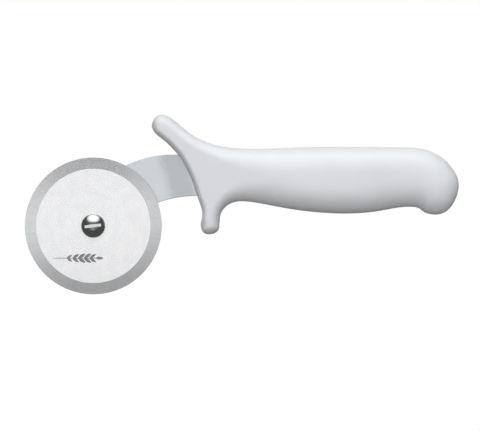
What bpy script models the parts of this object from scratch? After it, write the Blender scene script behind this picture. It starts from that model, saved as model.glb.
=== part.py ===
"""Pastry cutter wheel: a steel disc on an axle, held by a cranked arm in a moulded handle.

Metres, +Z up. The tool stands upright as it is used: the disc lies in the XZ plane and touches z = 0 with its
lowest point, the handle points along +X, and the disc's front face looks along -Y. x = 0 is the middle of the
overall length and y = 0 the middle of the handle and of the disc.
"""

import math

import bmesh
import bpy
import numpy as np
from mathutils import Vector

# Clearances.
SEAT_GAP = 0.0003
RUNNING_CLEARANCE = 0.00005

# Overall lengths, from the disc's far edge to the end of the pommel.
WHEEL_DIAMETER = 0.070
RIM_TO_GUARD = 0.0197
HANDLE_LENGTH = 0.1321

# Disc, with a bevel ground on both faces.
WHEEL_THICKNESS = 0.0015
BEVEL_WIDTH = 0.0058
EDGE_THICKNESS = 0.0003

# Axle: a screw from the front in a barrel nut (the post) from the back, both with domed, slotted heads.
AXLE_DIAMETER = 0.006
SCREW_DIAMETER = 0.0038
SCREW_LENGTH = 0.0055
HEAD_DIAMETER = 0.012
HEAD_HEIGHT = 0.0029
HEAD_RIM_HEIGHT = 0.0004
SLOT_WIDTH = 0.0014
SLOT_DEPTH = 0.0011
SLOT_TILT = math.radians(7.0)

# Bush and washers on the axle.
BUSH_WALL = 0.0015
HEAD_WASHER_THICKNESS = 0.0005
HEAD_WASHER_WIDTH = 0.0022
SPACER_WASHER_THICKNESS = 0.0006
SPACER_WASHER_WIDTH = 0.0042
LOCK_WASHER_THICKNESS = 0.0008
LOCK_WASHER_WIDTH = 0.0020
LOCK_WASHER_SPLIT = 0.0008

# Arm: heights are above the axle.
ARM_THICKNESS = 0.0020
ARM_TOP = 0.0364
ARM_BOTTOM = 0.0153
ARM_END_RADIUS = 0.0095
TOP_BEND_FROM_GUARD = -0.0148
BOTTOM_BEND_FROM_GUARD = -0.0022

# The arm's crank, sideways from the handle's middle to behind the disc: where it starts and stops halfway up the arm,
# how long its two round bends are, and how far the bend lines lean back.
CRANK_FROM_GUARD = -0.0030
CRANK_PAST_RIM = 0.0046
HANDLE_BEND_LENGTH = 0.0035
WHEEL_BEND_LENGTH = 0.0085
CRANK_TILT = math.radians(16.0)

# Tang, inside the handle: distances are behind the guard's front face.
TANG_SHOULDER = 0.0092
TANG_END = 0.0662
TANG_HEIGHT = 0.014
TANG_HOLE_DIAMETER = 0.006
TANG_HOLES = (0.0262, 0.0482)

# Handle sections from the front edge to the end of the pommel. Each one gives a point on the upper side, a point
# on the under side and the half thickness at both, in metres. Heights are above the axle. The front sections are
# measured from the guard's front face and the pommel's from its end; the belly's share the length between them.
FRONT_SECTIONS = (
    ((-0.0255, 0.0510), (-0.0003, 0.0005), 0.0080, 0.0065),
    ((-0.0239, 0.0553), (0.0012, -0.0033), 0.0080, 0.0065),
    ((-0.0198, 0.0576), (0.0049, -0.0045), 0.0080, 0.0065),
    ((-0.0150, 0.0557), (0.0089, -0.0028), 0.0080, 0.0065),
    ((-0.0083, 0.0500), (0.0098, 0.0015), 0.0083, 0.0068),
    ((0.0009, 0.0441), (0.0112, 0.0073), 0.0090, 0.0080),
    ((0.0132, 0.0404), (0.0167, 0.0119), 0.0096, 0.0092),
    ((0.0272, 0.0396), (0.0262, 0.0124), 0.0102, 0.0102),
)
BELLY_SECTIONS = (
    (0.0403, 0.0078, 0.0114, 0.0114),
    (0.0407, 0.0067, 0.0118, 0.0118),
)
POMMEL_SECTIONS = (
    ((-0.0235, 0.0403), (-0.0234, 0.0100), 0.0104, 0.0104),
    ((-0.0180, 0.0395), (-0.0182, 0.0077), 0.0108, 0.0108),
    ((-0.0123, 0.0374), (-0.0120, 0.0061), 0.0113, 0.0113),
    ((-0.0060, 0.0329), (-0.0059, 0.0082), 0.0113, 0.0113),
    ((-0.0018, 0.0274), (-0.0022, 0.0128), 0.0113, 0.0113),
    ((0.0, 0.0220), (0.0, 0.0190), 0.0113, 0.0113),
)
# The front edge between the tips of the thumb rest and the guard, top to bottom.
FRONT_EDGE = (
    (-0.0255, 0.0510),
    (-0.0205, 0.0440),
    (-0.0135, 0.0378),
    (-0.0083, 0.0318),
    (-0.0046, 0.0240),
    (-0.0018, 0.0158),
    (-0.0001, 0.0083),
    (-0.0003, 0.0005),
)
# How far in from the outline the handle's sides are rounded, and how full the round is.
LIMB_ROUND = 0.0045
GRIP_ROUND = 0.0135
ROUND_POWER = 2.3
LIMB_SECTIONS = 4
GRIP_FROM_SECTION = 8

# Points closer than this are one point, and a cut lands on points that are this close to it.
WELD_DISTANCE = 0.00001
CUT_TOLERANCE = 0.0000001

# Edges that turn by more than this stay crisp.
HANDLE_EDGE_ANGLE = math.radians(60.0)
ARM_EDGE_ANGLE = math.radians(25.0)

# Faces of the turned pieces and of the handle.
TURNED_STEPS = 48
WHEEL_STEPS = 96
DOME_STEPS = 8
CRANK_STEPS = 12
BEND_STEPS = 16
ARM_END_STEPS = 20
HOLE_STEPS = 32
LENGTH_STEPS = 44
DEPTH_STEPS = 20
FRONT_CROWDING = 1.4

WHEEL_RADIUS = WHEEL_DIAMETER / 2
OVERALL_LENGTH = WHEEL_DIAMETER + RIM_TO_GUARD + HANDLE_LENGTH
POMMEL_X = OVERALL_LENGTH / 2
GUARD_X = POMMEL_X - HANDLE_LENGTH
HUB_X = WHEEL_RADIUS - OVERALL_LENGTH / 2
HUB_Z = WHEEL_RADIUS

# The stack on the axle, front to back, as places along Y.
WHEEL_FRONT_Y = -WHEEL_THICKNESS / 2
WHEEL_BACK_Y = WHEEL_THICKNESS / 2
HEAD_WASHER_Y = WHEEL_FRONT_Y - SEAT_GAP - HEAD_WASHER_THICKNESS
SCREW_HEAD_Y = HEAD_WASHER_Y - SEAT_GAP
SPACER_WASHER_Y = WHEEL_BACK_Y + SEAT_GAP
ARM_FRONT_Y = SPACER_WASHER_Y + SPACER_WASHER_THICKNESS + SEAT_GAP
LOCK_WASHER_Y = ARM_FRONT_Y + ARM_THICKNESS + SEAT_GAP
POST_HEAD_Y = LOCK_WASHER_Y + LOCK_WASHER_THICKNESS + SEAT_GAP

AXLE_RADIUS = AXLE_DIAMETER / 2
AXLE_HOLE_RADIUS = AXLE_RADIUS + SEAT_GAP
BUSH_BORE_RADIUS = AXLE_RADIUS + RUNNING_CLEARANCE
BUSH_RADIUS = BUSH_BORE_RADIUS + BUSH_WALL


def clear_scene():
    """Removes every object of the scene."""
    for old in list(bpy.data.objects):
        bpy.data.objects.remove(old)


def new_collection(name):
    """Returns a new collection, linked to the scene."""
    collection = bpy.data.collections.new(name)
    bpy.context.scene.collection.children.link(collection)
    return collection


def new_material(name, colour, roughness, metallic):
    """Returns a Principled material of one colour."""
    material = bpy.data.materials.new(name)
    material.use_nodes = True
    shader = material.node_tree.nodes["Principled BSDF"]
    shader.inputs["Base Color"].default_value = (*colour, 1.0)
    shader.inputs["Roughness"].default_value = roughness
    shader.inputs["Metallic"].default_value = metallic
    return material


def add_object(name, data, collection, material=None):
    """Adds an object with this mesh or curve to a collection."""
    item = bpy.data.objects.new(name, data)
    collection.objects.link(item)
    if material:
        data.materials.append(material)
    return item


def mark_cutter(item):
    """Makes an object a cutter, which only shapes others."""
    item.hide_render = True
    item.display_type = "WIRE"
    return item


def smooth(item, angle):
    """Shades a mesh smooth, with sharp edges above an angle."""
    item.data.shade_smooth()
    item.data.set_sharp_from_angle(angle=angle)


def cut(item, cutter):
    """Cuts a piece with a cutter."""
    modifier = item.modifiers.new(cutter.name, "BOOLEAN")
    modifier.operation = "DIFFERENCE"
    modifier.solver = "EXACT"
    modifier.object = cutter


def turned(name, profile, collection, material, closed, steps=TURNED_STEPS):
    """Turns a profile of (radius, y) points about the axle. The profile runs down its outer side from +Y to -Y.

    A closed profile makes a ring; an open one starts and ends on the axis.
    """
    mesh = bpy.data.meshes.new(name)
    points = [(radius, 0.0, along) for radius, along in profile]
    edges = [(i, i + 1) for i in range(len(points) - 1)]
    if closed:
        edges.append((len(points) - 1, 0))
    mesh.from_pydata(points, edges, [])
    item = add_object(name, mesh, collection, material)
    item.location = (HUB_X, 0.0, HUB_Z)
    item.rotation_euler = (-math.pi / 2, 0.0, 0.0)
    screw = item.modifiers.new("turn", "SCREW")
    screw.axis = "Z"
    screw.angle = 2 * math.pi
    screw.steps = steps
    screw.render_steps = steps
    screw.use_merge_vertices = True
    screw.merge_threshold = WELD_DISTANCE
    screw.use_smooth_shade = True
    return item


def ring(name, bore, width, front, thickness, collection, material):
    """Makes a flat ring on the axle: bore radius, radial width, the place of its front face and its thickness."""
    outer = bore + width
    back = front + thickness
    profile = [(bore, back), (outer, back), (outer, front), (bore, front)]
    return turned(name, profile, collection, material, closed=True)


def dome(under, side):
    """Returns a domed head's profile from its rim to the axis; side is +1 for a head at the back, -1 at the front."""
    rise = HEAD_HEIGHT - HEAD_RIM_HEIGHT
    head_radius = HEAD_DIAMETER / 2
    ball = (head_radius**2 + rise**2) / (2 * rise)
    half_angle = math.asin(head_radius / ball)
    centre = under + side * (HEAD_HEIGHT - ball)
    points = [(head_radius, under)]
    for step in range(DOME_STEPS + 1):
        angle = half_angle * (1 - step / DOME_STEPS)
        points.append((ball * math.sin(angle), centre + side * ball * math.cos(angle)))
    points[-1] = (0.0, under + side * HEAD_HEIGHT)
    return points


def box_cutter(name, size, place, tilt, collection):
    """Makes a box-shaped cutter of a size at a place, tilted about the Y axis."""
    mesh = bpy.data.meshes.new(name)
    cage = bmesh.new()
    bmesh.ops.create_cube(cage, size=1.0)
    bmesh.ops.scale(cage, vec=size, verts=cage.verts)
    cage.to_mesh(mesh)
    cage.free()
    item = add_object(name, mesh, collection)
    item.location = place
    item.rotation_euler = (0.0, tilt, 0.0)
    return mark_cutter(item)


def head_slot(name, head_top, side, collection):
    """Makes the cutter for a screwdriver slot across a domed head."""
    size = (HEAD_DIAMETER + 2 * SLOT_DEPTH, 2 * SLOT_DEPTH, SLOT_WIDTH)
    return box_cutter(name, size, (HUB_X, head_top, HUB_Z), side * SLOT_TILT, collection)


def arc(centre, radius, start, end, steps):
    """Returns points on an arc in the XZ plane; angles in radians from +X towards +Z."""
    points = []
    for step in range(steps + 1):
        angle = start + (end - start) * step / steps
        points.append((centre[0] + radius * math.cos(angle), centre[1] + radius * math.sin(angle)))
    return points


def tang_outline(gap):
    """Returns the outline inside the handle, from the arm's upper edge round the tang to its lower edge."""
    middle = HUB_Z + (ARM_TOP + ARM_BOTTOM) / 2
    shoulder = GUARD_X + TANG_SHOULDER + gap
    end = GUARD_X + TANG_END + gap
    half = TANG_HEIGHT / 2 + gap
    return [
        (shoulder, HUB_Z + ARM_BOTTOM - gap),
        (shoulder, middle - half),
        (end, middle - half),
        (end, middle + half),
        (shoulder, middle + half),
        (shoulder, HUB_Z + ARM_TOP + gap),
    ]


def arm_outline():
    """Returns the arm's outline: two bends that run tangentially into a round end about the axle, and the tang."""
    top = HUB_Z + ARM_TOP
    bottom = HUB_Z + ARM_BOTTOM
    top_bend_x = GUARD_X + TOP_BEND_FROM_GUARD
    bottom_bend_x = GUARD_X + BOTTOM_BEND_FROM_GUARD
    end = ARM_END_RADIUS

    run = HUB_X - top_bend_x
    drop = ARM_TOP
    top_radius = (run**2 + drop**2 - end**2) / (2 * (drop - end))
    top_centre = (top_bend_x, top - top_radius)
    top_angle = math.atan2(HUB_Z - top_centre[1], HUB_X - top_centre[0])

    run = HUB_X - bottom_bend_x
    drop = ARM_BOTTOM
    bottom_radius = (run**2 + drop**2 - end**2) / (2 * (drop + end))
    bottom_centre = (bottom_bend_x, bottom - bottom_radius)
    bottom_angle = math.atan2(HUB_Z - bottom_centre[1], HUB_X - bottom_centre[0])

    points = arc(top_centre, top_radius, math.pi / 2, top_angle, BEND_STEPS)
    points += arc((HUB_X, HUB_Z), end, top_angle, bottom_angle + math.pi, ARM_END_STEPS)[1:-1]
    points += arc(bottom_centre, bottom_radius, bottom_angle, math.pi / 2, BEND_STEPS)
    return points + tang_outline(0.0)


def circle(centre, radius):
    """Returns the points of a circle in the XZ plane."""
    return arc(centre, radius, 0.0, 2 * math.pi, HOLE_STEPS)[:-1]


def tang_holes(gap):
    """Returns the outlines of the anchoring holes in the tang, made smaller by a gap."""
    middle = HUB_Z + (ARM_TOP + ARM_BOTTOM) / 2
    radius = TANG_HOLE_DIAMETER / 2 - gap
    return [circle((GUARD_X + behind, middle), radius) for behind in TANG_HOLES]


def plate(name, outlines, thickness, collection, material=None):
    """Makes a flat plate in the XZ plane, centred on y = 0: the first outline is its edge, the others are holes."""
    curve = bpy.data.curves.new(name + "_outline", "CURVE")
    curve.dimensions = "2D"
    curve.fill_mode = "BOTH"
    curve.extrude = thickness / 2
    for outline in outlines:
        spline = curve.splines.new("POLY")
        spline.points.add(len(outline) - 1)
        for point, (x, z) in zip(spline.points, outline):
            point.co = (x, z, 0.0, 1.0)
        spline.use_cyclic_u = True
    flat = add_object(name + "_outline", curve, collection)
    flat.rotation_euler = (math.pi / 2, 0.0, 0.0)
    bpy.context.view_layer.update()
    evaluated = flat.evaluated_get(bpy.context.evaluated_depsgraph_get())
    mesh = bpy.data.meshes.new_from_object(evaluated)
    mesh.name = name
    weld = bmesh.new()
    weld.from_mesh(mesh)
    bmesh.ops.remove_doubles(weld, verts=weld.verts, dist=WELD_DISTANCE)
    weld.to_mesh(mesh)
    weld.free()
    item = add_object(name, mesh, collection, material)
    item.matrix_world = flat.matrix_world
    bpy.data.objects.remove(flat)
    return item


def crank_share(run, length):
    """Returns the share of the crank's sideways shift that is reached at a distance from its start.

    The slope grows through the bend at the handle, stays, and fades through the bend at the disc.
    """
    run = min(max(run, 0.0), length)
    left = length - run
    whole = length - (HANDLE_BEND_LENGTH + WHEEL_BEND_LENGTH) / 2
    if run < HANDLE_BEND_LENGTH:
        return run**2 / (2 * HANDLE_BEND_LENGTH) / whole
    if left < WHEEL_BEND_LENGTH:
        return 1 - left**2 / (2 * WHEEL_BEND_LENGTH) / whole
    return (run - HANDLE_BEND_LENGTH / 2) / whole


def crank(item):
    """Bends a plate sideways in an S, so that it passes from the handle's middle to behind the disc.

    In the mesh's own axes X and Y are the plate's outline and Z is its thickness, with +Z towards the disc's front.
    """
    start_x = GUARD_X + CRANK_FROM_GUARD
    stop_x = GUARD_X - RIM_TO_GUARD - CRANK_PAST_RIM
    start = Vector((start_x, HUB_Z + (ARM_TOP + ARM_BOTTOM) / 2, 0.0))
    along = Vector((math.cos(CRANK_TILT), math.sin(CRANK_TILT), 0.0))
    length = (start_x - stop_x) * math.cos(CRANK_TILT)
    bend = bmesh.new()
    bend.from_mesh(item.data)
    for step in range(CRANK_STEPS + 1):
        place = start - along * (length * step / CRANK_STEPS)
        parts = bend.verts[:] + bend.edges[:] + bend.faces[:]
        bmesh.ops.bisect_plane(bend, geom=parts, dist=CUT_TOLERANCE, plane_co=place, plane_no=along)
    shift = ARM_FRONT_Y + ARM_THICKNESS / 2
    for vert in bend.verts:
        vert.co.z -= shift * crank_share((start - vert.co).dot(along), length)
    bend.to_mesh(item.data)
    bend.free()


def handle_sections():
    """Returns the handle's sections as rows of upper x, upper z, under x, under z and the two half thicknesses."""
    rows = []
    for (top_x, top_z), (under_x, under_z), top_half, under_half in FRONT_SECTIONS:
        rows.append((GUARD_X + top_x, top_z, GUARD_X + under_x, under_z, top_half, under_half))
    neck = rows[-1]
    pinch = POMMEL_SECTIONS[0]
    for index, (top_z, under_z, top_half, under_half) in enumerate(BELLY_SECTIONS):
        share = (index + 1) / (len(BELLY_SECTIONS) + 1)
        top_x = neck[0] + share * (POMMEL_X + pinch[0][0] - neck[0])
        under_x = neck[2] + share * (POMMEL_X + pinch[1][0] - neck[2])
        rows.append((top_x, top_z, under_x, under_z, top_half, under_half))
    for (top_x, top_z), (under_x, under_z), top_half, under_half in POMMEL_SECTIONS:
        rows.append((POMMEL_X + top_x, top_z, POMMEL_X + under_x, under_z, top_half, under_half))
    sections = np.array(rows)
    sections[:, (1, 3)] += HUB_Z
    return sections


def through(points, places):
    """Reads a smooth curve that passes through every point at places counted in points (Catmull-Rom)."""
    points = np.asarray(points, dtype=float)
    before = 2 * points[0] - points[1]
    after = 2 * points[-1] - points[-2]
    padded = np.vstack((before, points, after))
    places = np.clip(places, 0.0, len(points) - 1.0)
    index = np.minimum(places.astype(int), len(points) - 2)
    t = (places - index)[:, None]
    a, b, c, d = (padded[index + k] for k in range(4))
    return 0.5 * (2 * b + (c - a) * t + (2 * a - 5 * b + 4 * c - d) * t**2 + (3 * b - a - 3 * c + d) * t**3)


def ease(share):
    """Returns a smooth step from 0 to 1 as the share goes from 0 to 1."""
    share = np.clip(share, 0.0, 1.0)
    return share * share * (3 - 2 * share)


def outline_distance(points, outline):
    """Returns each point's distance to a closed outline."""
    ends = np.roll(outline, -1, axis=0)
    run = ends - outline
    length = np.maximum((run**2).sum(axis=1), CUT_TOLERANCE**2)
    offset = points[:, None, :] - outline[None, :, :]
    share = np.clip((offset * run).sum(axis=2) / length, 0.0, 1.0)
    nearest = offset - share[:, :, None] * run
    return np.sqrt((nearest**2).sum(axis=2)).min(axis=1)


def handle_grid():
    """Returns the front half of the handle as a grid of points: sections along it, points down each section.

    The grid fills the side outline, and stands out from it by a round that depends on the distance to the outline.
    """
    sections = handle_sections()
    last = len(sections) - 1
    stations = last * (np.arange(LENGTH_STEPS + 1) / LENGTH_STEPS) ** FRONT_CROWDING
    rows = through(sections, stations)
    down = (1 - np.cos(np.pi * np.arange(DEPTH_STEPS + 1) / DEPTH_STEPS)) / 2
    edge = through(FRONT_EDGE, down * (len(FRONT_EDGE) - 1)) + (GUARD_X, HUB_Z)
    chord = edge[0] + down[:, None] * (edge[-1] - edge[0])
    bow = 1 - ease(stations / (len(FRONT_SECTIONS) - 1))

    upper = rows[:, None, 0:2]
    under = rows[:, None, 2:4]
    plane = upper + down[None, :, None] * (under - upper) + bow[:, None, None] * (edge - chord)[None]
    half = rows[:, None, 4] + down[None, :] * (rows[:, None, 5] - rows[:, None, 4])

    outline = np.vstack((plane[:, 0], plane[-1, 1:], plane[-2::-1, -1], plane[0, -2:0:-1]))
    distance = outline_distance(plane.reshape(-1, 2), outline).reshape(half.shape)
    blend = ease((stations - LIMB_SECTIONS) / (GRIP_FROM_SECTION - LIMB_SECTIONS))
    reach = LIMB_ROUND + (GRIP_ROUND - LIMB_ROUND) * blend[:, None]
    depth = 1 - np.minimum(distance / reach, 1.0)
    stand = half * (1 - depth**ROUND_POWER) ** (1 / ROUND_POWER)
    stand[0] = stand[-1] = 0.0
    stand[:, 0] = stand[:, -1] = 0.0
    return np.dstack((plane[:, :, 0], -stand, plane[:, :, 1]))


def make_handle(parts, cutters, material):
    """Makes the moulded handle: a loft between unlike sections, mirrored, with a socket and keys for the tang.

    Each cell of the loft is split along the diagonal that points to the nearest corner of the grid, because a
    corner cell's other diagonal lies in the mirror's plane.
    """
    grid = handle_grid()
    rows, columns, _ = grid.shape
    faces = []
    for row in range(rows - 1):
        for column in range(columns - 1):
            a = row * columns + column
            b = a + 1
            c = b + columns
            d = a + columns
            if (2 * row < rows) == (2 * column < columns - 1):
                faces += [(a, b, c), (a, c, d)]
            else:
                faces += [(a, b, d), (b, c, d)]
    mesh = bpy.data.meshes.new("handle")
    mesh.from_pydata(grid.reshape(-1, 3).tolist(), [], faces)
    handle = add_object("handle", mesh, parts, material)
    mirror = handle.modifiers.new("other_half", "MIRROR")
    mirror.use_axis = (False, True, False)
    mirror.merge_threshold = WELD_DISTANCE
    smooth(handle, HANDLE_EDGE_ANGLE)

    mouth = GUARD_X - RIM_TO_GUARD
    front = [(mouth, HUB_Z + ARM_TOP + SEAT_GAP), (mouth, HUB_Z + ARM_BOTTOM - SEAT_GAP)]
    outlines = [front + tang_outline(SEAT_GAP)] + tang_holes(SEAT_GAP)
    socket = plate("tang_socket", outlines, ARM_THICKNESS + 2 * SEAT_GAP, cutters)
    crank(socket)
    cut(handle, mark_cutter(socket))
    return handle


def make_arm(parts, material):
    """Makes the cranked steel arm with its axle hole and the tang's anchoring holes."""
    outlines = [arm_outline(), circle((HUB_X, HUB_Z), AXLE_HOLE_RADIUS)] + tang_holes(0.0)
    arm = plate("arm", outlines, ARM_THICKNESS, parts, material)
    crank(arm)
    smooth(arm, ARM_EDGE_ANGLE)
    return arm


def make_wheel(parts, steel, plastic):
    """Makes the disc with its ground bevels, and the bush in its middle."""
    flat_radius = WHEEL_RADIUS - BEVEL_WIDTH
    bore = BUSH_RADIUS + SEAT_GAP
    edge = EDGE_THICKNESS / 2
    profile = [
        (bore, WHEEL_BACK_Y),
        (flat_radius, WHEEL_BACK_Y),
        (WHEEL_RADIUS, edge),
        (WHEEL_RADIUS, -edge),
        (flat_radius, WHEEL_FRONT_Y),
        (bore, WHEEL_FRONT_Y),
    ]
    turned("wheel_blade", profile, parts, steel, closed=True, steps=WHEEL_STEPS)
    ring("wheel_bush", BUSH_BORE_RADIUS, BUSH_WALL, WHEEL_FRONT_Y, WHEEL_THICKNESS, parts, plastic)


def make_axle(parts, cutters, material):
    """Makes the screw and the post that it threads into."""
    screw_radius = SCREW_DIAMETER / 2
    screw_end = SCREW_HEAD_Y + SCREW_LENGTH
    profile = [(0.0, screw_end), (screw_radius, screw_end), (screw_radius, SCREW_HEAD_Y)]
    screw = turned("axle_screw", profile + dome(SCREW_HEAD_Y, -1), parts, material, closed=False)
    cut(screw, head_slot("screw_slot", SCREW_HEAD_Y - HEAD_HEIGHT, -1, cutters))

    post_end = SCREW_HEAD_Y + SEAT_GAP
    bore = screw_radius + SEAT_GAP
    bore_end = screw_end + SEAT_GAP
    barrel = [
        (AXLE_RADIUS, POST_HEAD_Y),
        (AXLE_RADIUS, post_end),
        (bore, post_end),
        (bore, bore_end),
        (0.0, bore_end),
    ]
    profile = dome(POST_HEAD_Y, 1)[::-1] + barrel
    post = turned("axle_post", profile, parts, material, closed=False)
    cut(post, head_slot("post_slot", POST_HEAD_Y + HEAD_HEIGHT, 1, cutters))


def make_washers(parts, cutters, material):
    """Makes the washers under the screw's head, between the disc and the arm, and under the post's head."""
    ring("head_washer", AXLE_HOLE_RADIUS, HEAD_WASHER_WIDTH, HEAD_WASHER_Y, HEAD_WASHER_THICKNESS, parts, material)
    ring(
        "spacer_washer",
        AXLE_HOLE_RADIUS,
        SPACER_WASHER_WIDTH,
        SPACER_WASHER_Y,
        SPACER_WASHER_THICKNESS,
        parts,
        material,
    )
    lock = ring(
        "lock_washer", AXLE_HOLE_RADIUS, LOCK_WASHER_WIDTH, LOCK_WASHER_Y, LOCK_WASHER_THICKNESS, parts, material
    )
    reach = AXLE_HOLE_RADIUS + LOCK_WASHER_WIDTH
    size = (LOCK_WASHER_SPLIT, 4 * LOCK_WASHER_THICKNESS, 2 * reach)
    place = (HUB_X, LOCK_WASHER_Y + LOCK_WASHER_THICKNESS / 2, HUB_Z + reach)
    cut(lock, box_cutter("washer_split", size, place, 0.0, cutters))


def main():
    """Builds the tool."""
    clear_scene()
    parts = new_collection("pastry_cutter_wheel")
    cutters = new_collection("cutters")
    plastic = new_material("handle_plastic", (0.80, 0.80, 0.81), 0.45, 0.0)
    arm_steel = new_material("arm_steel", (0.56, 0.57, 0.58), 0.35, 1.0)
    blade_steel = new_material("blade_steel", (0.72, 0.72, 0.73), 0.30, 1.0)
    bush_plastic = new_material("bush_plastic", (0.72, 0.70, 0.64), 0.50, 0.0)
    axle_steel = new_material("axle_steel", (0.60, 0.61, 0.62), 0.08, 1.0)
    washer_steel = new_material("washer_steel", (0.55, 0.55, 0.56), 0.30, 1.0)
    make_handle(parts, cutters, plastic)
    make_arm(parts, arm_steel)
    make_wheel(parts, blade_steel, bush_plastic)
    make_axle(parts, cutters, axle_steel)
    make_washers(parts, cutters, washer_steel)


main()
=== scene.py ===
"""Looks of a pastry cutter: a moulded handle, a cranked steel arm and a ground steel disc on a slotted axle.

Metres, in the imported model's frame: +Z up, +X from the disc towards the pommel, -Y out of the disc's front.
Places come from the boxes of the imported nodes; the sizes below are what those boxes don't say, such as
fillets and bores.
"""

import logging
import math
from dataclasses import dataclass
from enum import Enum

import bmesh
import bpy
import numpy as np
from mathutils import Matrix, Vector

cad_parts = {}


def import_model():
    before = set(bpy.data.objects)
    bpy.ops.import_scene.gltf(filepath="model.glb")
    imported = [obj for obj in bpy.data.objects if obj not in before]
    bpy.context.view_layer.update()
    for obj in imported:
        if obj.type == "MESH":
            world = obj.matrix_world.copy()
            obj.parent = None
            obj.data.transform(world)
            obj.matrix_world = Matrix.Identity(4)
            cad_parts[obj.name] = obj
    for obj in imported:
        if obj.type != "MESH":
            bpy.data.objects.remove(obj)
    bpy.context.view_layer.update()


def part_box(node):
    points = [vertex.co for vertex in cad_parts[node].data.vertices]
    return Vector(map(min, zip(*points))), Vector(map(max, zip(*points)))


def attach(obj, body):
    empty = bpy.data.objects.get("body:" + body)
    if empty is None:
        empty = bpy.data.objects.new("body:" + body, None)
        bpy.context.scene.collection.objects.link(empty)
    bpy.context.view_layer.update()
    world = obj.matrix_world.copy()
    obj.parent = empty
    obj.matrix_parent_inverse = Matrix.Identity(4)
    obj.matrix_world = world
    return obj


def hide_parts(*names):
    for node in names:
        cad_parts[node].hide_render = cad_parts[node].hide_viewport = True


log = logging.getLogger("pastry_cutter")

WELD = 0.000001
FULL_TURN = 2 * math.pi
HANDLE_LENGTH = 0.1321
ARM_CLEARANCE = 0.0003
ROUND_STEPS = 4
THREAD_POINTS = 8
WHITE = (1.0, 1.0, 1.0, 1.0)
# The colour sockets of a Mix node share their names with its other sockets, so they are taken by number.
MIX_FIRST, MIX_SECOND, MIX_RESULT = 6, 7, 2

Point = tuple[float, float]
Triple = tuple[float, float, float]
Socket = bpy.types.NodeSocket
Outputs = bpy.types.bpy_prop_collection


class Body(Enum):
    """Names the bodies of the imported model."""

    HELD = "root"
    WHEEL = "wheel"


class Slot(Enum):
    """Names the record's material slots."""

    HANDLE = "handle_plastic"
    ARM = "arm_steel"
    BLADE = "blade_steel"
    BUSH = "bush_plastic"
    AXLE = "axle_steel"
    WASHER = "washer_steel"


class Side(Enum):
    """Says which way an axle piece's head looks along Y."""

    FRONT = -1
    BACK = 1


@dataclass(frozen=True)
class Datum:
    """Holds the places that the pieces are laid out from.

    Args:
        hub: The axle's place, on the plane y = 0.
        rim: Where the disc's edge is along X, towards the handle.
        pommel: Where the handle ends along X.
        guard: Where the guard's front face is along X.
    """

    hub: Vector
    rim: float
    pommel: float
    guard: float


# ------------------------------------------------------------------------------
# Helpers for meshes and places


@dataclass(frozen=True)
class Place:
    """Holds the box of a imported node.

    Args:
        low: The box's lowest corner.
        high: The box's highest corner.
    """

    low: Vector
    high: Vector

    @classmethod
    def of(cls, node: str) -> "Place":
        """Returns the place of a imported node."""
        return cls(*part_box(node))

    @property
    def radius(self) -> float:
        """Returns half the width along X, which is the radius of a piece on the axle."""
        return (self.high.x - self.low.x) / 2

    @property
    def hub(self) -> Vector:
        """Returns the middle of the box on the plane y = 0."""
        return Vector(((self.low.x + self.high.x) / 2, 0.0, (self.low.z + self.high.z) / 2))


def add_object(name: str, data: bpy.types.ID) -> bpy.types.Object:
    """Returns a new object with this data, linked to the scene at the origin."""
    item = bpy.data.objects.new(name, data)
    bpy.context.scene.collection.objects.link(item)
    return item


def baked(item: bpy.types.Object, name: str) -> bpy.types.Object:
    """Turns an object's evaluated shape into a plain mesh object and removes the first one.

    Args:
        item: The object with its modifiers.
        name: The new object's name.

    Returns:
        The new object, with its place in its mesh.
    """
    bpy.context.view_layer.update()
    graph = bpy.context.evaluated_depsgraph_get()
    ready = item.evaluated_get(graph)
    mesh = bpy.data.meshes.new_from_object(ready, preserve_all_data_layers=True, depsgraph=graph)
    mesh.transform(item.matrix_world)
    bpy.data.objects.remove(item)
    mesh.name = name
    return add_object(name, mesh)


def close_up(mesh: bpy.types.Mesh, weld: float = WELD) -> None:
    """Merges a mesh's doubled points, drops faces without area and turns all faces outwards."""
    work = bmesh.new()
    work.from_mesh(mesh)
    bmesh.ops.remove_doubles(work, verts=work.verts, dist=weld)
    bmesh.ops.dissolve_degenerate(work, edges=work.edges, dist=weld / 10)
    bmesh.ops.recalc_face_normals(work, faces=work.faces)
    work.to_mesh(mesh)
    work.free()


def shade(item: bpy.types.Object, crisp: float = math.radians(40.0)) -> bpy.types.Object:
    """Shades a piece smooth with flat faces kept flat, and edges above an angle crisp.

    Args:
        item: The piece.
        crisp: The angle above which an edge stays crisp.

    Returns:
        The piece with its shading in its mesh.
    """
    item.data.shade_smooth()
    item.data.set_sharp_from_angle(angle=crisp)
    weighted = item.modifiers.new("weighted", "WEIGHTED_NORMAL")
    weighted.mode = "FACE_AREA"
    weighted.keep_sharp = True
    return baked(item, item.name)


def arc(centre: Point, radius: float, start: float, end: float, steps: int) -> list[Point]:
    """Returns points on an arc; angles are in radians from the first axis towards the second."""
    turns = np.linspace(start, end, steps + 1)
    return [(centre[0] + radius * math.cos(turn), centre[1] + radius * math.sin(turn)) for turn in turns]


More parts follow.
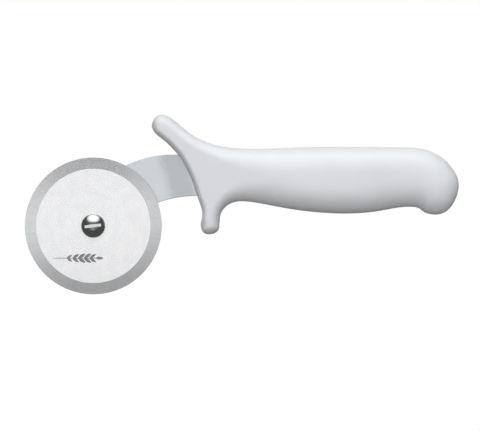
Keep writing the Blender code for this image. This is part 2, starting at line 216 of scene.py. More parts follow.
def rounded(points: list[Triple]) -> list[Point]:
    """Rounds the corners of a closed outline.

    Args:
        points: Each corner's place and the radius of its round, which may be 0.

    Returns:
        The outline's points, with an arc in place of each rounded corner.
    """
    places = [Vector(point[:2]) for point in points]
    outline: list[Point] = []
    for index, (x, y, radius) in enumerate(points):
        if radius <= 0:
            outline.append((x, y))
            continue
        here = places[index]
        before = (places[index - 1] - here).normalized()
        after = (places[(index + 1) % len(points)] - here).normalized()
        half = before.angle(after) / 2
        centre = here + (before + after).normalized() * (radius / math.sin(half))
        first = here + before * (radius / math.tan(half)) - centre
        last = here + after * (radius / math.tan(half)) - centre
        sweep = first.angle_signed(last)
        for step in range(ROUND_STEPS + 1):
            spoke = first.copy()
            spoke.rotate(Matrix.Rotation(-sweep * step / ROUND_STEPS, 2))
            outline.append(tuple(centre + spoke))
    return outline


def lengths(points: np.ndarray) -> np.ndarray:
    """Returns how far along a chain of points each point is."""
    return np.concatenate(([0.0], np.cumsum(np.linalg.norm(np.diff(points, axis=0), axis=1))))


def spline(points: np.ndarray, knots: np.ndarray, places: np.ndarray) -> np.ndarray:
    """Reads the natural cubic spline through some points.

    Args:
        points: The points, one to a row.
        knots: How far along the curve each point is.
        places: Where to read the curve.

    Returns:
        One row for each place.
    """
    gaps = np.diff(knots)
    slopes = np.diff(points, axis=0) / gaps[:, None]
    system = np.eye(len(points))
    bends = np.zeros_like(points)
    for index in range(1, len(points) - 1):
        near, far = gaps[index - 1], gaps[index]
        system[index, index - 1 : index + 2] = (near, 2 * (near + far), far)
        bends[index] = 6 * (slopes[index] - slopes[index - 1])
    bends = np.linalg.solve(system, bends)
    index = np.clip(np.searchsorted(knots, places, side="right") - 1, 0, len(points) - 2)
    gap = gaps[index][:, None]
    after = (places - knots[index])[:, None] / gap
    before = 1 - after
    bow = (before**3 - before) * bends[index] + (after**3 - after) * bends[index + 1]
    return before * points[index] + after * points[index + 1] + gap**2 / 6 * bow


def facing(place: Vector, away: Vector) -> Matrix:
    """Returns the frame at a place whose Z axis runs along a direction."""
    return Matrix.Translation(place) @ away.to_track_quat("Z", "Y").to_matrix().to_4x4()


def ease(share: np.ndarray) -> np.ndarray:
    """Returns a smooth step from 0 to 1 as the share goes from 0 to 1."""
    share = np.clip(share, 0.0, 1.0)
    return share * share * (3 - 2 * share)


# ------------------------------------------------------------------------------
# Node trees and finishes


class Nodes:
    """Adds and joins the nodes of one tree.

    Args:
        tree: The tree.
    """

    def __init__(self, tree: bpy.types.NodeTree) -> None:
        """Keeps the tree."""
        self.tree = tree

    @classmethod
    def cleared(cls, data: bpy.types.Material | bpy.types.World) -> "Nodes":
        """Returns the emptied tree of a material or a world."""
        data.use_nodes = True
        data.node_tree.nodes.clear()
        return cls(data.node_tree)

    def add(self, kind: str, links: dict[str | int, object], **settings: object) -> Outputs:
        """Adds a node.

        Args:
            kind: The node's type.
            links: For each input, the socket or value that it takes; an input may be named by its number.
            settings: The node's own settings.

        Returns:
            The node's outputs.
        """
        node = self.tree.nodes.new(kind)
        for key, value in settings.items():
            setattr(node, key, value)
        for key, value in links.items():
            for source in value if isinstance(value, list) else [value]:
                if isinstance(source, Socket):
                    self.tree.links.new(source, node.inputs[key])
                else:
                    node.inputs[key].default_value = source
        return node.outputs

    def maths(self, kind: str, first: object, second: object = 0.0) -> Socket:
        """Returns the result of a Math node on sockets or numbers."""
        return self.add("ShaderNodeMath", {0: first, 1: second}, operation=kind)["Value"]

    def split(self, vector: Socket) -> Outputs:
        """Returns the parts of a vector, named X, Y and Z."""
        return self.add("ShaderNodeSeparateXYZ", {"Vector": vector})

    def joined(self, **parts: object) -> Socket:
        """Returns the vector with these parts, named X, Y and Z."""
        return self.add("ShaderNodeCombineXYZ", parts)["Vector"]


class Painter(Nodes):
    """Adds and joins the nodes of one material.

    Args:
        name: The material's name.
    """

    def __init__(self, name: str) -> None:
        """Makes the material, and finds its shader and its Object coordinates."""
        self.material = bpy.data.materials.new(name)
        self.material.use_nodes = True
        super().__init__(self.material.node_tree)
        self.shader = self.tree.nodes["Principled BSDF"]
        self.place = self.add("ShaderNodeTexCoord", {})["Object"]

    def moved(self, shift: Vector, scale: Triple) -> Socket:
        """Returns Object coordinates shifted, then scaled."""
        place = tuple(part * factor for part, factor in zip(shift, scale))
        links = {"Vector": self.place, "Location": place, "Scale": scale}
        return self.add("ShaderNodeMapping", links)["Vector"]

    def around(self, hub: Vector, rings: float, spokes: float) -> Socket:
        """Returns coordinates that run round the axle: rings a metre outwards, and spokes a turn.

        The turn is given as a point on a circle, so that a pattern on it has no seam.
        """
        parts = self.split(self.moved(-hub, (1.0, 1.0, 1.0)))
        across, up = parts["X"], parts["Z"]
        squares = self.maths("ADD", self.maths("MULTIPLY", across, across), self.maths("MULTIPLY", up, up))
        radius = self.maths("MAXIMUM", self.maths("SQRT", squares), WELD)
        return self.joined(
            X=self.maths("MULTIPLY", self.maths("DIVIDE", across, radius), spokes),
            Y=self.maths("MULTIPLY", self.maths("DIVIDE", up, radius), spokes),
            Z=self.maths("MULTIPLY", radius, rings),
        )

    def noise(self, where: Socket, scale: float, detail: float = 3.0) -> Socket:
        """Returns a noise pattern from 0 to 1."""
        return self.add("ShaderNodeTexNoise", {"Vector": where, "Scale": scale, "Detail": detail})["Fac"]

    def spread(self, value: Socket, low: float, high: float, span: Point = (0.3, 0.7)) -> Socket:
        """Returns a pattern stretched from the span to a range from low to high."""
        limits = {"From Min": span[0], "From Max": span[1], "To Min": low, "To Max": high}
        return self.add("ShaderNodeMapRange", {"Value": value, **limits})["Result"]

    def blend(self, value: Socket, first: Triple, second: Triple) -> Socket:
        """Returns a colour between two, by a pattern from 0 to 1."""
        links = {"Factor": value, MIX_FIRST: (*first, 1.0), MIX_SECOND: (*second, 1.0)}
        return self.add("ShaderNodeMix", links, data_type="RGBA")[MIX_RESULT]

    def bump(self, height: Socket, depth: float, before: Socket | None = None) -> Socket:
        """Returns a normal with a relief of this depth in metres, on top of another normal."""
        under = {"Normal": before} if before else {}
        return self.add("ShaderNodeBump", {"Distance": depth, "Height": height, **under})["Normal"]

    def finish(
        self, colour: Socket, roughness: Socket, normal: Socket, metallic: float
    ) -> bpy.types.Material:
        """Fills the shader's main sockets and returns the material."""
        self.shader.inputs["Metallic"].default_value = metallic
        for name, value in (("Base Color", colour), ("Roughness", roughness), ("Normal", normal)):
            self.tree.links.new(value, self.shader.inputs[name])
        return self.material


@dataclass(frozen=True)
class MouldedPlastic:
    """White polypropylene from a finely eroded mould, with a faint parting line all round.

    Args:
        name: The material's name.
        light: The colour of the cleanest patches.
        dark: The colour of the most handled patches.
        grain: Depth of the mould's grain.
        parting_width: Width of the parting line.
        parting_depth: How far the parting line stands out.
    """

    name: str = "moulded_plastic"
    light: Triple = (0.842, 0.852, 0.866)
    dark: Triple = (0.810, 0.820, 0.834)
    grain: float = 0.000012
    parting_width: float = 0.00025
    parting_depth: float = 0.00003

    def material(self) -> bpy.types.Material:
        """Returns the material."""
        paint = Painter(self.name)
        patches = paint.noise(paint.place, scale=55.0, detail=2.0)
        colour = paint.blend(paint.spread(patches, 0.0, 1.0), self.light, self.dark)
        roughness = paint.spread(paint.noise(paint.place, scale=700.0), 0.40, 0.52)
        off_middle = paint.maths("ABSOLUTE", paint.split(paint.place)["Y"])
        parting = paint.spread(off_middle, 1.0, 0.0, (0.0, self.parting_width))
        normal = paint.bump(paint.noise(paint.place, scale=2600.0, detail=2.0), self.grain)
        normal = paint.bump(parting, self.parting_depth, normal)
        paint.shader.inputs["IOR"].default_value = 1.49
        return paint.finish(colour, roughness, normal, 0.0)


@dataclass(frozen=True, kw_only=True)
class Steel:
    """What all the steels share.

    Args:
        name: The material's name.
        light: The colour of the polished strokes.
        dark: The colour of the duller strokes.
        smooth: The least roughness.
        rough: The most roughness.
        grain: Depth of the strokes.
        metallic: The share of the light that mirrors; the rest is scattered by the satin grain.
    """

    name: str
    light: Triple
    dark: Triple
    smooth: float
    rough: float
    grain: float
    metallic: float = 0.75

    def dressed(self, paint: Painter, strokes: Socket, clouds: Socket, fine: float) -> bpy.types.Material:
        """Returns the steel with these strokes and clouds, and a fine grain of this scale."""
        colour = paint.blend(paint.spread(strokes, 0.0, 1.0), self.light, self.dark)
        roughness = paint.spread(clouds, self.smooth, self.rough)
        brushed = paint.bump(strokes, self.grain)
        normal = paint.bump(paint.noise(paint.place, fine, detail=1.0), self.grain / 2, brushed)
        return paint.finish(colour, roughness, normal, self.metallic)


@dataclass(frozen=True, kw_only=True)
class BrushedBar(Steel):
    """Satin stainless bar with its grain along X."""

    def material(self) -> bpy.types.Material:
        """Returns the material."""
        paint = Painter(self.name)
        strokes = paint.noise(paint.moved(Vector(), (160.0, 2400.0, 2400.0)), scale=1.0, detail=4.0)
        clouds = paint.noise(paint.place, scale=90.0, detail=2.0)
        return self.dressed(paint, strokes, clouds, fine=5200.0)


@dataclass(frozen=True, kw_only=True)
class TurnedSteel(Steel):
    """Steel with a grain that runs round the axle, or out from it.

    Args:
        hub: The middle of the grain.
        rings: How fast the grain changes outwards, a metre.
        spokes: How fast the grain changes round a turn.
    """

    hub: Vector
    rings: float
    spokes: float

    def material(self) -> bpy.types.Material:
        """Returns the material."""
        paint = Painter(self.name)
        strokes = paint.noise(paint.around(self.hub, self.rings, self.spokes), scale=1.0, detail=3.0)
        clouds = paint.noise(paint.place, scale=190.0, detail=3.0)
        return self.dressed(paint, strokes, clouds, fine=4800.0)


@dataclass(frozen=True)
class PlainPlastic:
    """Turned acetal, with the faint rings that the tool left.

    Args:
        name: The material's name.
        hub: The middle of the rings.
        light: The lighter colour.
        dark: The darker colour.
    """

    name: str
    hub: Vector
    light: Triple = (0.74, 0.72, 0.66)
    dark: Triple = (0.68, 0.66, 0.60)

    def material(self) -> bpy.types.Material:
        """Returns the material."""
        paint = Painter(self.name)
        rings = paint.noise(paint.around(self.hub, rings=9000.0, spokes=1.5), scale=1.0, detail=2.0)
        patches = paint.spread(paint.noise(paint.place, scale=400.0), 0.0, 1.0)
        colour = paint.blend(patches, self.light, self.dark)
        return paint.finish(colour, paint.spread(rings, 0.42, 0.55), paint.bump(rings, 0.000006), 0.0)


@dataclass(frozen=True)
class Etching:
    """The dull grey of a mark etched in steel.

    Args:
        name: The material's name.
        light: The colour where the etching is thin.
        dark: The colour where it is deep.
    """

    name: str = "etched_mark"
    light: Triple = (0.42, 0.42, 0.43)
    dark: Triple = (0.30, 0.30, 0.31)

    def material(self) -> bpy.types.Material:
        """Returns the material."""
        paint = Painter(self.name)
        pits = paint.noise(paint.place, scale=6000.0, detail=2.0)
        colour = paint.blend(paint.spread(pits, 0.0, 1.0), self.light, self.dark)
        return paint.finish(colour, paint.spread(pits, 0.55, 0.75), paint.bump(pits, 0.000005), 0.6)


# ------------------------------------------------------------------------------
# Geometry Nodes trees


class TreeBuilder(Nodes):
    """Adds and joins the nodes of one Geometry Nodes tree.

    Args:
        name: The tree's name.
        inputs: The socket type of each input, and the inputs' names.
    """

    def __init__(self, name: str, inputs: dict[str, tuple[str, ...]]) -> None:
        """Makes the tree with its inputs and its one output."""
        super().__init__(bpy.data.node_groups.new(name, "GeometryNodeTree"))
        sockets = self.tree.interface
        for kind, labels in inputs.items():
            for label in labels:
                sockets.new_socket(label, in_out="INPUT", socket_type="NodeSocket" + kind)
        sockets.new_socket("Geometry", in_out="OUTPUT", socket_type="NodeSocketGeometry")
        self.given = self.tree.nodes.new("NodeGroupInput").outputs
        self.position = self.add("GeometryNodeInputPosition", {})["Position"]

    def geometry(self, kind: str, links: dict[str | int, object], **settings: object) -> Socket:
        """Returns the first output of a new Geometry node."""
        return self.add("GeometryNode" + kind, links, **settings)[0]

    def vector(self, kind: str, first: object, second: object = (0.0, 0.0, 0.0)) -> Socket:
        """Returns the result of a Vector Math node."""
        return self.add("ShaderNodeVectorMath", {0: first, 1: second}, operation=kind)["Vector"]

    def realized(self, shape: Socket) -> Socket:
        """Returns a shape with its instances made real, in the material named Finish."""
        whole = self.geometry("RealizeInstances", {"Geometry": shape})
        return self.geometry("SetMaterial", {"Geometry": whole, "Material": self.given["Finish"]})

    def end(self, shape: Socket) -> bpy.types.NodeTree:
        """Joins the last shape to the output and returns the tree."""
        self.tree.links.new(shape, self.tree.nodes.new("NodeGroupOutput").inputs["Geometry"])
        return self.tree


def run_tree(
    name: str, tree: bpy.types.NodeTree, values: dict[str, object], base: bpy.types.Mesh | None = None
) -> bpy.types.Object:
    """Runs a Geometry Nodes tree on a mesh and returns the result as a plain object.

    Args:
        name: The object's name.
        tree: The tree.
        values: The value of each named input.
        base: The mesh that the tree starts from, if it needs one.

    Returns:
        The new object.
    """
    item = add_object(name, base or bpy.data.meshes.new(name + "_base"))
    modifier = item.modifiers.new("shape", "NODES")
    modifier.node_group = tree
    for socket in tree.interface.items_tree:
        if socket.in_out == "INPUT" and socket.name in values:
            modifier[socket.identifier] = values[socket.name]
    return baked(item, name)


def turning_tree() -> bpy.types.NodeTree:
    """Returns the tree that turns a profile about the axle, with an optional thread on it.

    The base mesh is the profile: x is the radius less the path's radius, and y is the place along the axle,
    negated. Points between two places along the axle are pushed outwards where the thread winds past them.
    """
    inputs = {
        "Geometry": ("Profile",),
        "Int": ("Steps",),
        "Vector": ("Hub",),
        "Material": ("Finish", "Rim Finish"),
        "Float": ("Path Radius", "Thread Pitch", "Thread Depth", "Thread From", "Thread To", "Rim From"),
    }
    build = TreeBuilder("turned_piece", inputs)
    given = build.given
    profile = build.geometry("MeshToCurve", {"Mesh": given["Profile"]})
    circle = {"Resolution": given["Steps"], "Radius": given["Path Radius"]}
    path = build.geometry("CurvePrimitiveCircle", circle)
    skin = build.geometry("CurveToMesh", {"Curve": path, "Profile Curve": profile})

    split = build.split(build.position)
    turn = build.maths("DIVIDE", build.maths("ARCTAN2", split["Y"], split["X"]), FULL_TURN)
    phase = build.maths("ADD", build.maths("DIVIDE", split["Z"], given["Thread Pitch"]), turn)
    wave = build.maths("MULTIPLY", build.maths("PINGPONG", phase, 0.5), 2.0)
    begun = build.maths("GREATER_THAN", split["Z"], given["Thread From"])
    unfinished = build.maths("LESS_THAN", split["Z"], given["Thread To"])
    inside = build.maths("MULTIPLY", begun, unfinished)
    rise = build.maths("MULTIPLY", build.maths("MULTIPLY", wave, inside), given["Thread Depth"])
    outward = build.vector("NORMALIZE", build.vector("MULTIPLY", build.position, (1.0, 1.0, 0.0)))
    push = build.vector("MULTIPLY", outward, rise)
    threaded = build.geometry("SetPosition", {"Geometry": skin, "Offset": push})
    aim = {"Rotation": (-math.pi / 2, 0.0, 0.0), "Translation": given["Hub"]}
    turned = build.geometry("Transform", {"Geometry": threaded, **aim})

    across = build.vector("MULTIPLY", build.vector("SUBTRACT", build.position, given["Hub"]), (1.0, 0.0, 1.0))
    radius = build.add("ShaderNodeVectorMath", {0: across}, operation="LENGTH")["Value"]
    beyond = build.maths("GREATER_THAN", radius, given["Rim From"])
    rim = {"Geometry": build.realized(turned), "Selection": beyond, "Material": given["Rim Finish"]}
    return build.end(build.geometry("SetMaterial", rim))


def sprig_tree() -> bpy.types.NodeTree:
    """Returns the tree of a flat ear of wheat: a stem, with pairs of grains along it and one at its tip.

    It lies in the XY plane along X. Each grain is a thin disc drawn out to a point at both ends.
    """
    inputs = {
        "Geometry": ("Base",),
        "Int": ("Pairs",),
        "Material": ("Finish",),
        "Float": ("Pitch", "Grain Length", "Grain Width", "Lean", "Stalk", "Stem Width", "Thickness"),
    }
    build = TreeBuilder("wheat_sprig", inputs)
    given = build.given
    round_plate = {"Vertices": 14, "Radius": 0.5, "Depth": 1.0}
    disc = build.geometry("MeshCylinder", round_plate, fill_type="NGON")
    split = build.split(build.position)
    taper = build.maths("SUBTRACT", 1.0, build.maths("ABSOLUTE", split["X"]))
    slim = build.maths("MULTIPLY", split["Y"], taper)
    drawn = build.joined(X=build.maths("ADD", split["X"], 0.5), Y=slim, Z=split["Z"])
    pointed = build.geometry("SetPosition", {"Geometry": disc, "Position": drawn})
    width = build.maths("MULTIPLY", given["Grain Width"], 1.25)
    size = build.joined(X=given["Grain Length"], Y=width, Z=given["Thickness"])
    grain = build.geometry("Transform", {"Geometry": pointed, "Scale": size})

    line = {"Start Location": build.joined(X=given["Stalk"]), "Offset": build.joined(X=given["Pitch"])}
    knots = build.geometry("MeshLine", {"Count": given["Pairs"], **line})
    share = build.maths("DIVIDE", build.geometry("InputIndex", {}), given["Pairs"])
    hump = build.maths("SINE", build.maths("MULTIPLY", share, math.pi))
    swell = build.maths("ADD", build.maths("MULTIPLY", hump, 0.3), 0.75)
    rows = []
    for way in (-1.0, 1.0):
        lean = build.joined(Z=build.maths("MULTIPLY", given["Lean"], way))
        spots = {"Points": knots, "Instance": grain, "Rotation": lean, "Scale": swell}
        rows.append(build.geometry("InstanceOnPoints", spots))

    reach = build.maths("ADD", given["Stalk"], build.maths("MULTIPLY", given["Pitch"], given["Pairs"]))
    tip = build.joined(X=reach)
    rows.append(build.geometry("Transform", {"Geometry": grain, "Translation": tip}))
    path = build.geometry("CurvePrimitiveLine", {"End": tip})
    bar = {"Width": given["Stem Width"], "Height": given["Thickness"]}
    strip = build.geometry("CurvePrimitiveQuadrilateral", bar)
    rows.append(build.geometry("CurveToMesh", {"Curve": path, "Profile Curve": strip, "Fill Caps": True}))
    return build.end(build.realized(build.geometry("JoinGeometry", {"Geometry": rows})))


def split_ring_tree() -> bpy.types.NodeTree:
    """Returns the tree of a spring washer: a rectangle swept round almost one turn that climbs a little.

    The path winds about Z, then the washer is turned to wind about the axle.
    """
    inputs = {
        "Geometry": ("Base",),
        "Int": ("Steps",),
        "Vector": ("Centre",),
        "Material": ("Finish",),
        "Float": ("Middle Radius", "Width", "Thickness", "Round", "Turn", "Rise", "Start"),
    }
    build = TreeBuilder("split_ring", inputs)
    given = build.given
    winding = {
        "Resolution": given["Steps"],
        "Rotations": given["Turn"],
        "Start Radius": given["Middle Radius"],
        "End Radius": given["Middle Radius"],
        "Height": given["Rise"],
    }
    path = build.geometry("CurveSpiral", winding)
    upright = build.geometry("SetCurveNormal", {"Curve": path}, mode="Z_UP")
    size = {"Width": given["Width"], "Height": given["Thickness"]}
    bar = build.geometry("CurvePrimitiveQuadrilateral", size)
    soft = build.geometry("FilletCurve", {"Curve": bar, "Radius": given["Round"], "Count": 3}, mode="POLY")
    swept = build.geometry("CurveToMesh", {"Curve": upright, "Profile Curve": soft, "Fill Caps": True})
    aim = build.joined(X=-math.pi / 2, Y=given["Start"])
    moved = {"Geometry": swept, "Rotation": aim, "Translation": given["Centre"]}
    return build.end(build.realized(build.geometry("Transform", moved)))


@dataclass(frozen=True)
class Thread:
    """A screw thread on a turned piece; one without depth leaves the piece plain.

    Args:
        pitch: The distance from one turn to the next.
        depth: How far its crests stand out.
        start: Where it starts along the axle.
        stop: Where it stops along the axle.
    """

    pitch: float = 1.0
    depth: float = 0.0
    start: float = 0.0
    stop: float = 0.0


class Lathe:
    """Turns profiles about the axle.

    The path's radius may be any above 0, and a rim that starts beyond every piece is no rim.

    Args:
        hub: The axle's place, on the plane y = 0.
    """

    path_radius: float = 0.02
    no_rim: float = 1.0

    def __init__(self, hub: Vector) -> None:
        """Keeps the axle's place and makes the tree that turns profiles."""
        self.hub = hub
        self.tree = turning_tree()

    def turn(
        self,
        name: str,
        outline: list[Point],
        finish: bpy.types.Material,
        steps: int = 96,
        rim: tuple[float, bpy.types.Material] | None = None,
        thread: Thread = Thread(),
    ) -> bpy.types.Object:
        """Turns an outline of (radius, place along the axle) points.

        An outline that starts on the axis has to end there too. Any other one is closed into a ring.

        Args:
            name: The piece's name.
            outline: The outline's points.
            finish: The piece's material.
            steps: How many flats go round.
            rim: A radius and the material beyond it.
            thread: A thread on the piece.

        Returns:
            The piece, closed and facing outwards.
        """
        points = [(radius - self.path_radius, -along, 0.0) for radius, along in outline]
        edges = [(index, index + 1) for index in range(len(points) - 1)]
        if outline[0][0] > 0:
            edges.append((len(points) - 1, 0))
        base = bpy.data.meshes.new(name + "_profile")
        base.from_pydata(points, edges, [])
        rim_from, rim_finish = rim or (self.no_rim, finish)
        values = {
            "Path Radius": self.path_radius,
            "Steps": steps,
            "Hub": self.hub,
            "Thread Pitch": thread.pitch,
            "Thread Depth": thread.depth,
            "Thread From": thread.start,
            "Thread To": thread.stop,
            "Rim From": rim_from,
            "Finish": finish,
            "Rim Finish": rim_finish,
        }
        piece = run_tree(name, self.tree, values, base)
        close_up(piece.data)
        return piece

    def ring(
        self, name: str, bore: float, place: Place, corner: float, finish: bpy.types.Material
    ) -> bpy.types.Object:
        """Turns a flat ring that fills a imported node's box, with rounded corners.

        Args:
            name: The piece's name.
            bore: The radius of its hole.
            place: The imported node's place.
            corner: The radius of its corners.
            finish: Its material.

        Returns:
            The ring.
        """
        back, front, radius = place.high.y, place.low.y, place.radius
        corners = ((bore, back), (radius, back), (radius, front), (bore, front))
        outline = rounded([(*point, corner) for point in corners])
        return shade(self.turn(name, outline, finish))


# ------------------------------------------------------------------------------
# The tool's pieces


def cut(item: bpy.types.Object, cutter: bpy.types.Object) -> bpy.types.Object:
    """Cuts a piece with a cutter, removes the cutter and returns the piece as a plain mesh."""
    modifier = item.modifiers.new("cut", "BOOLEAN")
    modifier.operation = "DIFFERENCE"
    modifier.solver = "EXACT"
    modifier.object = cutter
    result = baked(item, item.name)
    bpy.data.objects.remove(cutter)
    return result


def give(item: bpy.types.Object, material: bpy.types.Material) -> bpy.types.Object:
    """Makes a material a piece's only one and returns the piece."""
    item.data.materials.clear()
    item.data.materials.append(material)
    return item


@dataclass
class Arm:
    """The flat bar between the axle and the handle, cranked sideways, with its tang.

    Args:
        datum: The places that it is laid out from.
        front: Where its front face is behind the disc, along Y.
        thickness: The bar's thickness.
        top: Height of the upper edge above the axle, at the handle.
        bottom: Height of the lower edge above the axle, at the handle.
        end_radius: Radius of the round end.
        top_bend: Where the upper edge starts to fall, behind the guard's face.
        bottom_bend: Where the lower edge starts to fall.
        crank_start: Where the crank starts, behind the guard's face.
        crank_past_rim: Where it stops, past the disc's edge.
        handle_bend: Length of its first round bend.
        wheel_bend: Length of its second round bend.
        tilt: How far the bend lines lean back.
        axle_hole: Radius of the axle's hole.
        shoulder: Where the bar narrows to the tang.
        tang_end: Where the tang ends.
        tang_height: The tang's height.
        tang_hole: Radius of the tang's anchoring holes.
        tang_holes: Where they are.
        edge: Radius of the bar's worn edges.
        square: The least angle of the edges that are worn.
        crisp: The angle above which an edge stays crisp.
    """

    datum: Datum
    front: float
    thickness: float = 0.0020
    top: float = 0.0364
    bottom: float = 0.0153
    end_radius: float = 0.0095
    top_bend: float = -0.0148
    bottom_bend: float = -0.0022
    crank_start: float = -0.0030
    crank_past_rim: float = 0.0046
    handle_bend: float = 0.0035
    wheel_bend: float = 0.0085
    tilt: float = math.radians(16.0)
    axle_hole: float = 0.0033
    shoulder: float = 0.0092
    tang_end: float = 0.0662
    tang_height: float = 0.014
    tang_hole: float = 0.003
    tang_holes: Point = (0.0262, 0.0482)
    edge: float = 0.00022
    square: float = math.radians(60.0)
    crisp: float = math.radians(12.0)

    def tang_outline(self, gap: float) -> list[Point]:
        """Returns the outline inside the handle, from the upper edge round the tang to the lower edge."""
        up = self.datum.hub.z
        middle = up + (self.top + self.bottom) / 2
        shoulder = self.datum.guard + self.shoulder + gap
        end = self.datum.guard + self.tang_end + gap
        half = self.tang_height / 2 + gap
        return [
            (shoulder, up + self.bottom - gap),
            (shoulder, middle - half),
            (end, middle - half),
            (end, middle + half),
            (shoulder, middle + half),
            (shoulder, up + self.top + gap),
        ]

    def bend(self, start: float, height: float, end: float) -> tuple[Point, float, float]:
        """Finds the long bend from one edge of the bar into the round end.

        Args:
            start: Where it starts, behind the guard's face.
            height: The edge's height above the axle there.
            end: The round end's radius, negative for the lower edge.

        Returns:
            The bend's centre, its radius and the angle at which it meets the round end.
        """
        hub, guard = self.datum.hub, self.datum.guard
        run = hub.x - guard - start
        radius = (run**2 + height**2 - end**2) / (2 * (height - end))
        centre = (guard + start, hub.z + height - radius)
        return centre, radius, math.atan2(hub.z - centre[1], hub.x - centre[0])

    def outline(self) -> list[Point]:
        """Returns the bar's outline: two long bends that run into the round end, and the tang."""
        hub, end = self.datum.hub, self.end_radius
        centre, radius, first = self.bend(self.top_bend, self.top, end)
        upper = arc(centre, radius, math.pi / 2, first, 64)
        centre, radius, last = self.bend(self.bottom_bend, self.bottom, -end)
        lower = arc(centre, radius, last, math.pi / 2, 64)
        around = arc((hub.x, hub.z), end, first, last + math.pi, 48)[1:-1]
        return upper + around + lower + self.tang_outline(0.0)

    def anchors(self, gap: float) -> list[list[Point]]:
        """Returns the outlines of the tang's holes, made smaller by a gap."""
        middle = self.datum.hub.z + (self.top + self.bottom) / 2
        places = [(self.datum.guard + behind, middle) for behind in self.tang_holes]
        return [arc(place, self.tang_hole - gap, 0.0, FULL_TURN, 40)[:-1] for place in places]

    def plate(
        self, name: str, outlines: list[list[Point]], thickness: float, edge: float
    ) -> bpy.types.Object:
        """Makes the cranked plate of some outlines: the first is its edge and the others are holes.

        Args:
            name: The plate's name.
            outlines: The outlines in the XZ plane.
            thickness: The plate's thickness.
            edge: The radius of its worn edges, or 0 for square ones.

        Returns:
            The plate.
        """
        curve = bpy.data.curves.new(name + "_outline", "CURVE")
        curve.dimensions = "2D"
        curve.fill_mode = "BOTH"
        curve.extrude = thickness / 2
        for outline in outlines:
            spline = curve.splines.new("POLY")
            spline.points.add(len(outline) - 1)
            for point, (x, z) in zip(spline.points, outline):
                point.co = (x, z, 0.0, 1.0)
            spline.use_cyclic_u = True
        item = baked(add_object(name + "_outline", curve), name)
        close_up(item.data)
        bend = bmesh.new()
        bend.from_mesh(item.data)
        if edge:
            corners = [side for side in bend.edges if side.calc_face_angle(0.0) > self.square]
            rims = [side for side in corners if abs(side.verts[0].co.z - side.verts[1].co.z) < WELD]
            bmesh.ops.bevel(bend, geom=rims, offset=edge, segments=3, profile=0.5, affect="EDGES")
        self.crank(bend)
        bend.to_mesh(item.data)
        bend.free()
        item.data.transform(Matrix.Rotation(math.pi / 2, 4, "X"))
        return item

    def crank(self, bend: bmesh.types.BMesh, steps: int = 30) -> None:
        """Bends a flat plate sideways in an S, from the handle's middle to behind the disc."""
        start_x = self.datum.guard + self.crank_start
        stop_x = self.datum.rim - self.crank_past_rim
        start = Vector((start_x, self.datum.hub.z + (self.top + self.bottom) / 2, 0.0))
        along = Vector((math.cos(self.tilt), math.sin(self.tilt), 0.0))
        length = (start_x - stop_x) * math.cos(self.tilt)
        for step in range(steps + 1):
            place = start - along * (length * step / steps)
            parts = bend.verts[:] + bend.edges[:] + bend.faces[:]
            bmesh.ops.bisect_plane(bend, geom=parts, dist=WELD / 10, plane_co=place, plane_no=along)
        for vert in bend.verts:
            share = self.crank_share((start - vert.co).dot(along), length)
            vert.co.z -= (self.front + self.thickness / 2) * share

    def crank_share(self, run: float, length: float) -> float:
        """Returns the share of the sideways shift that is reached at a distance from the crank's start."""
        run = min(max(run, 0.0), length)
        left = length - run
        whole = length - (self.handle_bend + self.wheel_bend) / 2
        if run < self.handle_bend:
            return run**2 / (2 * self.handle_bend) / whole
        if left < self.wheel_bend:
            return 1 - left**2 / (2 * self.wheel_bend) / whole
        return (run - self.handle_bend / 2) / whole

    def socket(self, gap: float) -> bpy.types.Object:
        """Makes the cutter for the hollow that the tang sits in."""
        up = self.datum.hub.z
        mouth = [(self.datum.rim, up + self.top + gap), (self.datum.rim, up + self.bottom - gap)]
        outlines = [mouth + self.tang_outline(gap)] + self.anchors(gap)
        return self.plate("tang_socket", outlines, self.thickness + 2 * gap, 0.0)

    def build(self, steel: bpy.types.Material) -> bpy.types.Object:
        """Builds the bar, dresses it and returns it."""
        hub = self.datum.hub
        hole = arc((hub.x, hub.z), self.axle_hole, 0.0, FULL_TURN, 56)[:-1]
        bar = self.plate("arm_bar", [self.outline(), hole] + self.anchors(0.0), self.thickness, self.edge)
        give(bar, steel)
        bar = shade(bar, self.crisp)
        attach(bar, Body.HELD.value)
        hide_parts("arm")
        return bar


